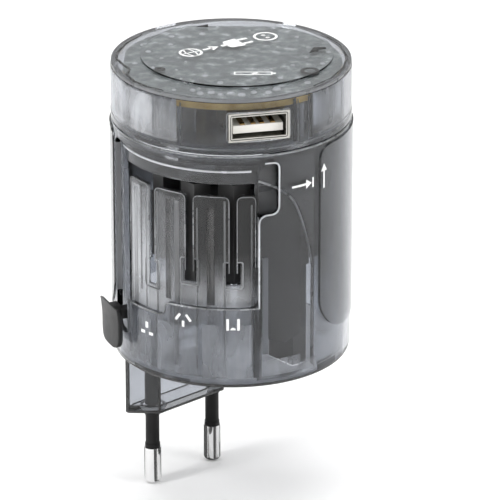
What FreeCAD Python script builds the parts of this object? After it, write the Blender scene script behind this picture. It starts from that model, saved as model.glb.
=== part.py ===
import FreeCAD, Part
import math
import os
import Sketcher

# Universal travel adapter: a clear round body with four push-out plugs and a USB charger cap.
# Millimetres.  +Z up, z = 0 is the underside of the round body, the Z axis is the body's axis.
# The lever lanes face -Y.  Lane angles are measured from -Y towards +X.

doc = FreeCAD.newDocument("universal_travel_adapter")
sheet = doc.addObject("Spreadsheet::Sheet", "dims")

DIMS = [
    # round body
    ("body_r", 28.0), ("shell_wall", 1.4), ("body_top", 57.5), ("foot_round", 1.2),
    ("panel_r", 26.5), ("panel_wall", 1.4), ("panel_foot", 2.0), ("panel_top", 56.0),
    ("base_r", 26.4), ("base_thick", 1.8),
    # lever lanes, in degrees from the front, and their heights
    ("lane_us", 3.0), ("lane_au", -19.7), ("lane_uk", -42.3), ("lane_eu", -65.0),
    ("gallery_low", 46.9), ("gallery_high", 49.9), ("slit_wide", 1.85), ("key_wide", 3.4),
    ("key_us_low", 24.8), ("key_us_high", 30.5), ("key_au_low", 25.1), ("key_au_high", 30.9),
    ("key_uk_low", 22.2), ("key_uk_high", 28.5), ("lane_eu_low", 9.2),
    # windows in the outer shell
    ("window_left", -71.0), ("window_right", 15.3), ("window_step", 25.2), ("window_top", 55.3),
    ("window_jog", 42.6), ("window_low", 19.7), ("window_uk_low", 16.4), ("window_eu_low", 7.6),
    # plug bands: all plugs stand parallel, turned by this angle about Z
    ("band_turn", 44.0),
    # two-pin plug that is pushed out
    ("eu_mid_u", -6.03), ("eu_mid_n", 11.1), ("eu_spacing", 19.0), ("eu_pin_r", 2.0),
    ("eu_pin_len", 19.0), ("eu_tip_len", 9.0), ("eu_case_low", -16.8), ("eu_case_top", 9.0),
    ("eu_carrier_top", 13.2), ("eu_sleeve_r", 1.65), ("eu_collar_r", 1.8),
    # retracted plugs
    ("uk_line_n", 3.0), ("uk_half", 11.1), ("uk_earth_n", -19.2),
    ("au_n", -5.2), ("au_half", 6.86), ("au_tilt", 30.0), ("us_n", -13.0), ("us_half", 6.35),
    ("carrier_low", 26.4), ("carrier_top", 42.0),
    # lever
    ("stem_low", 10.6), ("stem_high", 13.2), ("stem_wide", 3.0), ("tab_r", 31.7), ("tab_thick", 1.2),
    ("tab_low", 4.4), ("tab_high", 15.6),
    # grip pads
    ("grip_half", 18.1), ("grip_low", 9.4), ("grip_high", 56.4), ("grip_corner", 9.5),
    ("grip_top_corner", 3.0),
    # charger cap
    ("cap_low", 57.8), ("cap_r", 27.9), ("cap_wall", 1.6), ("lid_low", 70.2), ("lid_top", 71.5),
    ("rim_r", 28.0), ("rim_high", 59.3), ("disc_r", 22.4), ("disc_y", 2.6), ("cap_floor", 59.6),
    ("usb_turn", 15.3), ("usb_mid_z", 64.4), ("usb_wide", 13.1), ("usb_high", 5.7),
    ("pcb_low", 68.0), ("pcb_high", 69.6),
]
V = {}
for row, (alias, value) in enumerate(DIMS, start=1):
    sheet.set("A%d" % row, alias)
    sheet.set("B%d" % row, repr(value))
    sheet.setAlias("B%d" % row, alias)
    V[alias] = value
doc.recompute()


def expr(text):
    """Turn a formula over the sheet's names into a document expression."""
    out, word = "", ""
    for ch in text + " ":
        if ch.isalnum() or ch == "_":
            word += ch
            continue
        out += ("dims." + word) if word in V else word
        word = ""
        out += ch
    return out.strip()


def value(text):
    """The number a formula over the sheet's names stands for."""
    if not isinstance(text, str):
        return float(text)
    total, sign, word = 0.0, 1.0, ""
    for ch in text.replace(" ", "") + "+":
        if ch in "+-":
            if word:
                factors = 1.0
                for piece in word.split("*"):
                    factors *= V[piece] if piece in V else float(piece)
                total += sign * factors
                sign = 1.0
            if ch == "-":
                sign = -1.0
            word = ""
        else:
            word += ch
    return total


def bind(obj, prop, amount):
    if isinstance(amount, str):
        obj.setExpression(prop, expr(amount))
    else:
        setattr(obj, prop, amount)


def turn_about_z(obj, angle):
    obj.Placement = FreeCAD.Placement(obj.Placement.Base,
                                      FreeCAD.Rotation(FreeCAD.Vector(0, 0, 1), value(angle)))


def cylinder(name, radius, low, high, x=0.0, y=0.0):
    c = doc.addObject("Part::Cylinder", name)
    bind(c, "Radius", radius)
    bind(c, "Height", "(%s)-(%s)" % (high, low))
    c.Placement.Base = FreeCAD.Vector(value(x), value(y), value(low))
    if isinstance(low, str):
        c.setExpression("Placement.Base.z", expr(low))
    for prop, at in (("Placement.Base.x", x), ("Placement.Base.y", y)):
        if isinstance(at, str):
            c.setExpression(prop, expr(at))
    return c


def box(name, x0, x1, y0, y1, low, high):
    b = doc.addObject("Part::Box", name)
    for prop, lo, hi in (("Length", x0, x1), ("Width", y0, y1), ("Height", low, high)):
        b.setExpression(prop, expr("(%s)-(%s)" % (hi, lo)))
    for prop, at in (("x", x0), ("y", y0), ("z", low)):
        b.setExpression("Placement.Base." + prop, expr("%s" % at))
    return b


def cut(name, base, tools):
    tool = tools[0]
    if len(tools) > 1:
        tool = doc.addObject("Part::MultiFuse", name + "_tools")
        tool.Shapes = tools
    c = doc.addObject("Part::Cut", name)
    c.Base, c.Tool = base, tool
    return c


def fuse(name, shapes):
    if len(shapes) == 1:
        return shapes[0]
    f = doc.addObject("Part::MultiFuse", name)
    f.Shapes = shapes
    f.Refine = True
    return f


def group(name, shapes):
    g = doc.addObject("Part::Compound", name)
    g.Links = shapes
    return g


def sector(name, inner, outer, low, high, start, end):
    """A curved wall between two radii, from one lane angle to another."""
    parts = []
    for tag, radius, extra in (("_o", outer, 0.0), ("_i", inner, 1.0)):
        c = doc.addObject("Part::Cylinder", name + tag)
        bind(c, "Radius", radius)
        c.setExpression("Height", expr("(%s)-(%s)+%s" % (high, low, 2 * extra)))
        wide = value(end) - value(start)
        c.Angle = wide + 4 * extra if wide + 4 * extra < 360 else 360
        if isinstance(start, str) and isinstance(end, str) and not extra:
            c.setExpression("Angle", expr("(%s)-(%s)" % (end, start)))
        c.Placement = FreeCAD.Placement(
            FreeCAD.Vector(0, 0, value(low) - extra),
            FreeCAD.Rotation(FreeCAD.Vector(0, 0, 1), value(start) - 90 - 2 * extra))
        c.setExpression("Placement.Base.z", expr("%s-%s" % (low, extra)))
        parts.append(c)
    return cut(name, parts[0], [parts[1]])


def ring(name, inner, outer, low, high):
    a = cylinder(name + "_o", outer, low, high)
    b = cylinder(name + "_i", inner, "%s-1" % low, "%s+1" % high)
    return cut(name, a, [b])


def spoke(name, lane, r0, r1, wide, low, high, shift=0.0):
    """A block that points outwards along a lane angle, centred on it."""
    b = doc.addObject("Part::Box", name)
    for prop, amount in (("Length", "(%s)-(%s)" % (r1, r0)), ("Width", "%s" % wide),
                         ("Height", "(%s)-(%s)" % (high, low))):
        b.setExpression(prop, expr(amount))
    a = math.radians(value(lane) - 90)
    out = FreeCAD.Vector(math.cos(a), math.sin(a), 0)
    side = FreeCAD.Vector(-math.sin(a), math.cos(a), 0)
    base = out * value(r0) + side * (shift - value(wide) / 2.0)
    base.z = value(low)
    b.Placement = FreeCAD.Placement(base, FreeCAD.Rotation(FreeCAD.Vector(0, 0, 1), value(lane) - 90))
    b.setExpression("Placement.Base.z", expr("%s" % low))
    return b


def round_corners(name, base, rules):
    """Fillet the edges that run straight outwards through a curved wall, where a rule gives a radius."""
    doc.recompute()
    picked = []
    for i, edge in enumerate(base.Shape.Edges):
        a, b = edge.Vertexes[0].Point, edge.Vertexes[-1].Point
        reach = abs(math.hypot(a.x, a.y) - math.hypot(b.x, b.y))
        if edge.Curve.TypeId != "Part::GeomLine" or abs(a.z - b.z) > 1e-6 or reach < 0.8:
            continue
        lane = math.degrees(math.atan2(a.x, -a.y))
        for (lane_lo, lane_hi, z_lo, z_hi), radius in rules:
            if lane_lo <= lane <= lane_hi and z_lo <= a.z <= z_hi:
                picked.append((i + 1, radius, radius))
                break
    f = doc.addObject("Part::Fillet", name)
    f.Base = base
    f.Edges = picked
    return f


def banded(obj):
    """Turn a plug piece, drawn square to the axes, into the plugs' common direction."""
    turn_about_z(obj, "band_turn")
    obj.setExpression("Placement.Rotation.Angle", expr("band_turn"))
    return obj


def plane_of(body, role):
    return [f for f in body.Origin.OriginFeatures if getattr(f, "Role", "") == role][0]


def sketch(body, name, lift):
    s = body.newObject("Sketcher::SketchObject", name)
    s.AttachmentSupport = [(plane_of(body, "XY_Plane"), "")]
    s.MapMode = "FlatFace"
    s.setExpression("AttachmentOffset.Base.z", expr("%s" % lift))
    return s


def draw_circle(s, x, y, radius):
    n = s.addGeometry(Part.Circle(FreeCAD.Vector(value(x), value(y), 0), FreeCAD.Vector(0, 0, 1),
                                  value(radius)), False)
    k = s.addConstraint(Sketcher.Constraint("Radius", n, value(radius)))
    if isinstance(radius, str):
        s.setExpression("Constraints[%d]" % k, expr(radius))


def draw_outline(s, points):
    """A closed outline of straight lines."""
    first = None
    for i, (x, y) in enumerate(points):
        nx, ny = points[(i + 1) % len(points)]
        n = s.addGeometry(Part.LineSegment(FreeCAD.Vector(x, y, 0), FreeCAD.Vector(nx, ny, 0)), False)
        first = n if first is None else first
        if i:
            s.addConstraint(Sketcher.Constraint("Coincident", n - 1, 2, n, 1))
    s.addConstraint(Sketcher.Constraint("Coincident", n, 2, first, 1))


def pad(body, s, name, length):
    p = body.newObject("PartDesign::Pad", name)
    p.Profile = s
    bind(p, "Length", length)
    s.Visibility = False
    return p


def pocket(body, s, name, length):
    """Cut downwards from the sketch, or upwards when that is where the material is."""
    doc.recompute()
    before = body.Shape.Volume
    p = body.newObject("PartDesign::Pocket", name)
    p.Profile = s
    bind(p, "Length", length)
    s.Visibility = False
    doc.recompute()
    if body.Shape.Volume > before - 1e-3:
        p.Reversed = True
        doc.recompute()
    return p


NODES = {}


def node(name, obj, label):
    obj.Label = label
    NODES[name] = obj


def rect(x, y, half_x, half_y):
    return [(x - half_x, y - half_y), (x + half_x, y - half_y),
            (x + half_x, y + half_y), (x - half_x, y + half_y)]


def tilted_rect(x, y, half_x, half_y, degrees):
    a = math.radians(degrees)
    return [(x + px * math.cos(a) - py * math.sin(a), y + px * math.sin(a) + py * math.cos(a))
            for px, py in rect(0, 0, half_x, half_y)]


# ---------------------------------------------------------------- outer shell with its windows
tube = ring("shell_tube", "body_r-shell_wall", "body_r", 0.0, "body_top")
doc.recompute()
foot = doc.addObject("Part::Fillet", "shell_foot")
foot.Base = tube
low_edge = [i + 1 for i, e in enumerate(tube.Shape.Edges)
            if abs(e.BoundBox.ZMax) < 1e-6 and abs(e.BoundBox.XMax - V["body_r"]) < 1e-6]
foot.Edges = [(low_edge[0], V["foot_round"], V["foot_round"])]
shell_in, shell_out = "body_r-shell_wall-0.5", "body_r+2"
windows = [
    sector("window_gallery", shell_in, shell_out, "window_jog", "window_top", "window_left", "window_step"),
    sector("window_lanes", shell_in, shell_out, "window_low", "window_jog+1", "window_left",
           "window_right"),
    sector("window_uk", shell_in, shell_out, "window_uk_low", "window_low+1", "window_left", -31.4),
    sector("window_eu", shell_in, shell_out, "window_eu_low", "window_low+1", "window_left", -58.0),
]
shell = cut("outer_shell_cut", foot, windows)
corner_rules = [
    ((14.0, 16.5, 18.0, 22.0), 2.2), ((14.0, 16.5, 41.0, 44.0), 1.2), ((24.0, 26.5, 41.0, 44.0), 1.6),
    ((24.0, 26.5, 53.0, 57.0), 2.0), ((-33.0, -30.0, 15.0, 18.0), 1.2), ((-33.0, -30.0, 19.0, 21.5), 1.0),
    ((-60.0, -56.0, 7.0, 9.0), 1.2), ((-60.0, -56.0, 15.0, 18.0), 1.0), ((-72.0, -70.0, 7.0, 9.0), 1.2),
    ((-72.0, -70.0, 53.0, 57.0), 2.0),
]
node("outer_shell", round_corners("outer_shell_rounded", shell, corner_rules), "outer shell")


# ---------------------------------------------------------------- grips on the two sides of the shell
def grip_pad(k, mid):
    """A wide raised pad with large round lower corners: a thin skin round the shell, cut to
    an outline that is drawn square on to the pad's middle lane."""
    skin = sector("grip_skin_%d" % k, "body_r+0.02", "body_r+0.35", 9.0, 57.0, mid - 42, mid + 42)
    half = V["grip_half"]
    low, low_round = V["grip_low"], V["grip_corner"]
    high, high_round = V["grip_high"], V["grip_top_corner"]
    near, far = 10.0, 32.0
    outline = [
        spoke("grip_bar_%d" % k, mid, near, far, 2 * half, low + low_round, high - high_round),
        spoke("grip_foot_%d" % k, mid, near, far, 2 * (half - low_round), low, 0.5 * (low + high)),
        spoke("grip_head_%d" % k, mid, near, far, 2 * (half - high_round), 0.5 * (low + high), high),
    ]
    a = math.radians(mid - 90)
    out = FreeCAD.Vector(math.cos(a), math.sin(a), 0)
    along = FreeCAD.Vector(-math.sin(a), math.cos(a), 0)
    corners = [(side, z, r) for z, r in ((low + low_round, low_round), (high - high_round, high_round))
               for side in (-1, 1)]
    for j, (side, z, r) in enumerate(corners):
        c = doc.addObject("Part::Cylinder", "grip_corner_%d_%d" % (k, j))
        c.Radius = r
        c.Height = far - near
        c.Placement = FreeCAD.Placement(out * near + along * (side * (half - r)) + FreeCAD.Vector(0, 0, z),
                                        FreeCAD.Rotation(FreeCAD.Vector(0, 0, 1), out))
        outline.append(c)
    pad_shape = doc.addObject("Part::Common", "grip_pad_%d" % k)
    pad_shape.Base = skin
    pad_shape.Tool = fuse("grip_oval_%d" % k, outline)
    return pad_shape


grips = [grip_pad(k, mid) for k, mid in enumerate((88.0, 247.0))]
node("grip_pads", group("grip_pads_pair", grips), "raised grip pads")

# ---------------------------------------------------------------- inner guide panel with the lanes
p_in, p_out = "panel_r-panel_wall", "panel_r"
sheet_wall = sector("panel_wall_full", p_in, p_out, "panel_foot", "panel_top", -75.0, 15.8)
step = sector("panel_step", "panel_r-0.45", "panel_r+1", "panel_foot-1", 52.9, -76.0, 15.0)
lanes = [
    sector("gallery", "panel_r-3", "panel_r+3", "gallery_low", "gallery_high", -70.0, 14.2),
    spoke("lane_eu_slot", "lane_eu", 22.0, 30.0, 3.7, "lane_eu_low", "gallery_low+1"),
]
for tag in ("us", "au", "uk"):
    lanes.append(spoke("slit_" + tag, "lane_" + tag, 22.0, 30.0, "slit_wide",
                       "key_%s_high-1" % tag, "gallery_low+1"))
    lanes.append(spoke("key_" + tag, "lane_" + tag, 22.0, 30.0, "key_wide",
                       "key_%s_low" % tag, "key_%s_high" % tag))
panel = cut("panel_cut", sheet_wall, [step] + lanes)
low_rule = (V["gallery_low"] - 0.2, V["gallery_low"] + 0.2)
panel = round_corners("panel_rounded", panel, [((-62.5, 12.0) + low_rule, 1.3)])
ribs = [spoke("partition_%d" % i, th, "panel_r-panel_wall-1.2", "panel_r-panel_wall+0.4", 1.2,
              "panel_foot", 44.5) for i, th in enumerate((-53.7, -31.0, -9.6))]
node("guide_panel", fuse("guide_panel_fused", [panel] + ribs), "lane guide panel")

# ---------------------------------------------------------------- inner liner, arched at its front edge
liner = sector("liner_wall", p_in, p_out, "panel_foot", "panel_top", 16.3, 250.0)
arch_dir = math.radians(30.0 - 90.0)
arch_side = FreeCAD.Vector(-math.sin(arch_dir), math.cos(arch_dir), 0)
arch_pts = []
for th, z in ((10.0, 0.0), (46.6, 0.0), (46.6, 29.5), (44.6, 33.8), (40.6, 39.4), (36.6, 43.5),
              (32.3, 46.1), (24.6, 48.5), (10.0, 50.6)):
    a = math.radians(th - 30.0)
    arch_pts.append(arch_side * (26.5 * math.sin(a)) + FreeCAD.Vector(0, 0, z)
                    + FreeCAD.Vector(math.cos(arch_dir), math.sin(arch_dir), 0) * 15.0)
arch = doc.addObject("Part::Feature", "arch_window")
arch.Shape = Part.Face(Part.makePolygon(arch_pts + arch_pts[:1])).extrude(
    FreeCAD.Vector(math.cos(arch_dir), math.sin(arch_dir), 0) * 15.0)
node("inner_liner", cut("inner_liner_cut", liner, [arch]), "inner liner")

# dark shield behind the arch, with a notched lower edge
shield = fuse("shield_fused", [sector("shield_wall", 23.4, 24.4, 7.0, 47.0, 17.0, 36.6),
                               sector("shield_thin", 23.95, 24.4, 7.0, 47.0, 36.0, 41.8)])
notch_dir = math.radians(27.0 - 90.0)
notch_out = FreeCAD.Vector(math.cos(notch_dir), math.sin(notch_dir), 0)
notch_side = FreeCAD.Vector(-math.sin(notch_dir), math.cos(notch_dir), 0)
notch_pts = [notch_out * 20 + notch_side * s + FreeCAD.Vector(0, 0, z)
             for s, z in ((-6.0, 6.0), (9.0, 6.0), (9.0, 11.6), (2.2, 8.8), (-6.0, 12.2))]
notch = doc.addObject("Part::Feature", "shield_notch")
notch.Shape = Part.Face(Part.makePolygon(notch_pts + notch_pts[:1])).extrude(notch_out * 8)
node("contact_shield", cut("contact_shield_cut", shield, [notch]), "dark contact shield")

# ---------------------------------------------------------------- base plate with the plug openings
SCREWS = []
for th in (100.0, 170.0, 215.0):
    SCREWS.append((22.6 * math.cos(math.radians(th - 90)), 22.6 * math.sin(math.radians(th - 90))))


def in_band(x, y):
    """A point of the body, as seen in the plugs' turned directions."""
    a = math.radians(V["band_turn"])
    return x * math.cos(a) + y * math.sin(a), -x * math.sin(a) + y * math.cos(a)


eu_u, eu_n = V["eu_mid_u"], V["eu_mid_n"]


def casing_outline(grow):
    """Long six-sided outline of the two-pin casing: near side straight, ends cut at 45 degrees."""
    half = [(10.1, -3.5), (15.5, 1.9), (15.5, 2.6), (14.6, 3.5)]
    out = []
    for u, n in half + [(-u, n) for u, n in reversed(half)]:
        wider = grow * (0.45 if abs(u) < 12 else (1.0 if abs(u) > 15 else 0.6))
        out.append((eu_u + u + math.copysign(wider, u),
                    eu_n + n + (grow if n > 3 else (-grow if n < 0 else 0.0))))
    return out


base = doc.addObject("PartDesign::Body", "base_plate_body")
s = sketch(base, "base_plate_disc", 0.0)
draw_circle(s, 0.0, 0.0, "base_r")
pad(base, s, "base_plate_pad", "base_thick")
s = sketch(base, "base_plate_openings", "base_thick")
draw_outline(s, casing_outline(0.35))
for sign in (-1, 1):
    draw_outline(s, rect(sign * V["uk_half"], V["uk_line_n"], 3.175 + 0.3, 2.0 + 0.3))
    draw_outline(s, tilted_rect(sign * V["au_half"], V["au_n"], 0.8 + 0.3, 3.175 + 0.3,
                                sign * V["au_tilt"]))
    draw_outline(s, rect(sign * V["us_half"], V["us_n"], 0.75 + 0.3, 3.175 + 0.3))
draw_outline(s, rect(0.0, V["uk_earth_n"], 2.0 + 0.3, 4.0 + 0.3))
for x, y in SCREWS:
    draw_circle(s, in_band(x, y)[0], in_band(x, y)[1], 1.05)
pocket(base, s, "base_plate_cut", "base_thick+1")
s = sketch(base, "base_plate_recesses", 0.0)
for x, y in SCREWS:
    draw_circle(s, in_band(x, y)[0], in_band(x, y)[1], 1.9)
pocket(base, s, "base_recess_cut", 1.1)
node("base_plate", banded(base), "base plate")

# ---------------------------------------------------------------- socket face under the cap
sock = doc.addObject("PartDesign::Body", "socket_plate_body")
s = sketch(sock, "socket_disc", 54.2)
draw_circle(s, 0.0, 0.0, 24.6)
pad(sock, s, "socket_pad", 1.8)
s = sketch(sock, "socket_holes", 56.0)
for sign in (-1, 1):
    draw_outline(s, [(sign * 3.6, -4.2), (sign * 9.6, -4.2), (sign * 12.6, -2.4), (sign * 12.6, 2.4),
                     (sign * 9.6, 4.2), (sign * 3.6, 4.2)])
draw_outline(s, rect(0.0, -13.5, 2.6, 4.6))
pocket(sock, s, "socket_cut", 3.0)
node("socket_plate", sock, "socket face")

# contacts and fuse under the socket face, above the retracted carriers
contacts = []
for k, sign in enumerate((-1, 1)):
    plate = box("contact_plate_%d" % k, sign * 8.0 - 4.0, sign * 8.0 + 4.0, 5.2, 7.4, 50.6, 54.0)
    leaf = box("contact_leaf_%d" % k, sign * 8.0 - 3.0, sign * 8.0 + 3.0, 4.8, 5.3, 50.6, 53.6)
    contacts.append(fuse("contact_%d" % k, [plate, leaf]))
node("live_neutral_contacts", group("live_neutral_group", contacts), "live and neutral socket contacts")
node("earth_contact", box("earth_contact_box", -3.0, 3.0, -19.6, -18.6, 50.6, 54.0), "earth socket contact")

fuse_y, fuse_z = 14.2, 52.2
barrel = doc.addObject("Part::Cylinder", "fuse_barrel")
barrel.Radius, barrel.Height = 1.5, 10.0
barrel.Placement = FreeCAD.Placement(FreeCAD.Vector(-5.0, fuse_y, fuse_z),
                                     FreeCAD.Rotation(FreeCAD.Vector(0, 1, 0), 90))
node("fuse_glass", barrel, "fuse body")
ends = []
for k, x in enumerate((-8.0, 5.0)):
    c = doc.addObject("Part::Cylinder", "fuse_end_%d" % k)
    c.Radius, c.Height = 1.7, 3.0
    c.Placement = FreeCAD.Placement(FreeCAD.Vector(x, fuse_y, fuse_z),
                                    FreeCAD.Rotation(FreeCAD.Vector(0, 1, 0), 90))
    ends.append(c)
node("fuse_end_caps", group("fuse_ends", ends), "fuse end caps")
clips = []
for k, x in enumerate((-7.4, 5.4)):
    outer_clip = box("clip_block_%d" % k, x, x + 2.0, fuse_y - 2.2, fuse_y + 2.2, 50.3, 53.9)
    hole = doc.addObject("Part::Cylinder", "clip_hole_%d" % k)
    hole.Radius, hole.Height = 1.72, 4.0
    hole.Placement = FreeCAD.Placement(FreeCAD.Vector(x - 1, fuse_y, fuse_z),
                                       FreeCAD.Rotation(FreeCAD.Vector(0, 1, 0), 90))
    mouth = box("clip_mouth_%d" % k, x - 1, x + 3.0, fuse_y - 1.2, fuse_y + 1.2, 52.6, 55.0)
    clips.append(cut("clip_%d" % k, outer_clip, [hole, mouth]))
node("fuse_clips", group("fuse_clip_pair", clips), "fuse clips")

# three screws that hold the base plate to posts in the liner
posts, screws = [], []
for k, (x, y) in enumerate(SCREWS):
    post = cylinder("post_%d" % k, 2.3, 2.0, 49.6, x, y)
    bore = cylinder("post_bore_%d" % k, 0.95, 1.0, 12.0, x, y)
    posts.append(cut("post_cut_%d" % k, post, [bore]))
    shank = cylinder("screw_shank_%d" % k, 0.9, 0.6, 10.0, x, y)
    head = cylinder("screw_head_%d" % k, 1.7, 0.1, 1.0, x, y)
    cross = [box("screw_cross_%d_a" % k, x - 1.0, x + 1.0, y - 0.2, y + 0.2, 0.0, 0.5),
             box("screw_cross_%d_b" % k, x - 0.2, x + 0.2, y - 1.0, y + 1.0, 0.0, 0.5)]
    screws.append(cut("screw_%d" % k, fuse("screw_solid_%d" % k, [shank, head]), cross))
node("screw_posts", group("screw_post_group", posts), "screw posts")
node("base_screws", group("base_screw_group", screws), "base screws")

# ---------------------------------------------------------------- two-pin plug (pushed out)
case = doc.addObject("PartDesign::Body", "eu_casing_body")
s = sketch(case, "eu_casing_outline", "eu_case_low")
draw_outline(s, casing_outline(0.0))
pad(case, s, "eu_casing_pad", "eu_case_top-eu_case_low")
s = sketch(case, "eu_casing_hollow", "eu_case_top")
inner = []
for u, n in [(-9.64, -2.4), (9.64, -2.4), (14.4, 2.4), (-14.4, 2.4)]:
    inner.append((eu_u + u, eu_n + n))
draw_outline(s, inner)
pocket(case, s, "eu_casing_pocket", "eu_case_top-eu_case_low-1.6")
s = sketch(case, "eu_casing_pin_holes", "eu_case_low+1.6")
for sign in (-1, 1):
    draw_circle(s, eu_u + sign * 9.5, eu_n, 1.77)
pocket(case, s, "eu_casing_pin_cut", 3.0)
node("eu_casing", banded(case), "two-pin plug casing")

eu_x = ["eu_mid_u-0.5*eu_spacing", "eu_mid_u+0.5*eu_spacing"]
pins, sleeves = [], []
for k, x in enumerate(eu_x):
    tip_low = "eu_case_low-eu_pin_len"
    tip = cylinder("eu_tip_%d" % k, "eu_pin_r", tip_low, "eu_case_low-eu_pin_len+eu_tip_len", x, "eu_mid_n")
    core = cylinder("eu_core_%d" % k, 1.3, "eu_case_low-eu_pin_len+eu_tip_len-0.5", 8.6, x, "eu_mid_n")
    pins.append(fuse("eu_pin_%d" % k, [tip, core]))
doc.recompute()
round_pins = []
for k, p in enumerate(pins):
    f = doc.addObject("Part::Fillet", "eu_pin_round_%d" % k)
    f.Base = p
    zlow = V["eu_case_low"] - V["eu_pin_len"]
    edge = [i + 1 for i, e in enumerate(p.Shape.Edges)
            if abs(e.BoundBox.ZMax - zlow) < 1e-4 and e.Length > 10]
    f.Edges = [(edge[0], 0.7, 0.7)]
    round_pins.append(f)
node("eu_pins", banded(group("eu_pin_pair", round_pins)), "two-pin plug pins")
for k, x in enumerate(eu_x):
    bot = "eu_case_low-eu_pin_len+eu_tip_len+0.02"
    pieces = [
        cylinder("sleeve_mid_%d" % k, "eu_sleeve_r", bot, 8.4, x, "eu_mid_n"),
        cylinder("sleeve_low_%d" % k, "eu_collar_r", bot, "eu_case_low-eu_pin_len+eu_tip_len+1.0", x,
                 "eu_mid_n"),
        cylinder("sleeve_up_%d" % k, "eu_collar_r", "eu_case_low-1.5", "eu_case_low-0.03", x, "eu_mid_n"),
        cylinder("sleeve_in_%d" % k, 1.74, "eu_case_low-1.0", 8.4, x, "eu_mid_n"),
    ]
    solid = fuse("sleeve_solid_%d" % k, pieces)
    hole = cylinder("sleeve_hole_%d" % k, 1.3, "eu_case_low-eu_pin_len+eu_tip_len-0.5", 9.5, x, "eu_mid_n")
    sleeves.append(cut("sleeve_%d" % k, solid, [hole]))
node("eu_sleeves", banded(group("eu_sleeve_pair", sleeves)), "pin insulating sleeves")

carrier = doc.addObject("PartDesign::Body", "eu_carrier_body")
s = sketch(carrier, "eu_carrier_outline", "eu_case_top")
draw_outline(s, [(eu_u - 10.1, eu_n - 3.5), (eu_u + 10.1, eu_n - 3.5), (eu_u + 15.5, eu_n + 1.9),
                 (eu_u + 15.5, eu_n + 2.6), (eu_u + 14.6, eu_n + 3.5), (eu_u - 14.6, eu_n + 3.5),
                 (eu_u - 14.6, eu_n - 0.1), (eu_u - 12.9, eu_n - 1.7)])
pad(carrier, s, "eu_carrier_pad", "eu_carrier_top-eu_case_top")
s = sketch(carrier, "eu_saddle_outline", "eu_case_top")
draw_outline(s, [(-22.4, 6.0), (-15.5, 6.0), (-15.5, 9.9), (-22.4, 9.9)])
pad(carrier, s, "eu_saddle_pad", "stem_low-eu_case_top-0.1")
node("eu_carrier", banded(carrier), "two-pin plug carrier")

# ---------------------------------------------------------------- lever on the two-pin carrier
# thumb tab: a curved plate standing off the wall, on a stem that runs through the lane
tab = sector("tab_plate", "tab_r-tab_thick", "tab_r", "tab_low", "tab_high", -74.6, -55.4)
stem = spoke("lever_stem", "lane_eu", 22.6, "tab_r-tab_thick+0.5", "stem_wide", "stem_low", "stem_high")
neck = spoke("lever_neck", "lane_eu", 28.4, "tab_r-tab_thick+0.5", "stem_wide+0.6", 7.9, 14.4)
node("selector_lever", fuse("selector_lever_fused", [tab, stem, neck]), "selector lever")

# ---------------------------------------------------------------- retracted three-pin plug
low, high = "carrier_low", "carrier_top"
pieces = [
    box("uk_bar", -20.5, 12.8, 0.4, 5.4, low, high),
    box("uk_arm", 10.2, 12.8, -20.8, 1.0, low, high),
    box("uk_bridge", -2.5, 12.8, -20.8, -17.9, low, high),
    box("uk_head", -2.6, 2.6, -23.4, -15.0, low, high),
    box("uk_catch", -22.4, -17.5, -1.5, 2.0, 38.0, 48.8),
]
node("uk_carrier", banded(fuse("uk_carrier_fused", pieces)), "three-pin plug carrier")
line_pins = []
for k, sign in enumerate((-1, 1)):
    x = sign * V["uk_half"]
    line_pins.append(box("uk_line_%d" % k, x - 3.175, x + 3.175, "uk_line_n-2", "uk_line_n+2", 6.7, low))
node("uk_line_pins", banded(group("uk_line_pair", line_pins)), "three-pin plug line pins")
node("uk_earth_pin", banded(group("uk_earth_group", [
    box("uk_earth", -2.0, 2.0, "uk_earth_n-4", "uk_earth_n+4", 1.9, low)])), "three-pin plug earth pin")

# ---------------------------------------------------------------- retracted slanted-blade plug
pieces = [
    box("au_bar", -19.6, 9.4, -8.2, -2.0, low, high),
    box("au_catch", -21.8, -17.0, -11.6, -7.0, 38.0, 48.8),
    box("au_skirt", -21.8, -17.0, -11.6, -7.0, 24.3, 38.5),
]
node("au_carrier", banded(fuse("au_carrier_fused", pieces)), "slanted-blade plug carrier")


def blade(name, x, y, half_thick, tilt, tip):
    pts = [FreeCAD.Vector(px, py, tip) for px, py in tilted_rect(x, y, half_thick, 3.175, tilt)]
    f = doc.addObject("Part::Feature", name)
    face = Part.Face(Part.makePolygon(pts + pts[:1]))
    f.Shape = face.extrude(FreeCAD.Vector(0, 0, V["carrier_low"] - tip))
    return f


node("au_blades", banded(group("au_blade_pair", [
    blade("au_blade_%d" % k, sg * V["au_half"], V["au_n"], 0.8, sg * V["au_tilt"], 4.8)
    for k, sg in enumerate((-1, 1))])), "slanted plug blades")

# ---------------------------------------------------------------- retracted flat-blade plug
pieces = [
    box("us_bar", -14.0, 7.4, -14.2, -9.6, low, high),
    box("us_catch", -15.8, -10.6, -18.4, -13.0, 38.0, 48.8),
    box("us_skirt", -15.8, -10.6, -18.4, -13.0, 24.4, 38.5),
]
node("us_carrier", banded(fuse("us_carrier_fused", pieces)), "flat-blade plug carrier")
node("us_blades", banded(group("us_blade_pair", [
    blade("us_blade_%d" % k, sg * V["us_half"], V["us_n"], 0.75, 0.0, 4.4)
    for k, sg in enumerate((-1, 1))])), "flat plug blades")

# ---------------------------------------------------------------- turning lock ring under the cap
lock = ring("lock_ring_band", 24.9, 26.3, 56.3, 57.5)
keys = [sector("lock_key_%d" % k, 25.0, 26.0, 57.0, 58.9, th - 6, th + 6) for k, th in
        enumerate((60.0, 180.0, 300.0))]
node("lock_ring", fuse("lock_ring_fused", [lock] + keys), "turning lock ring")

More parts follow.
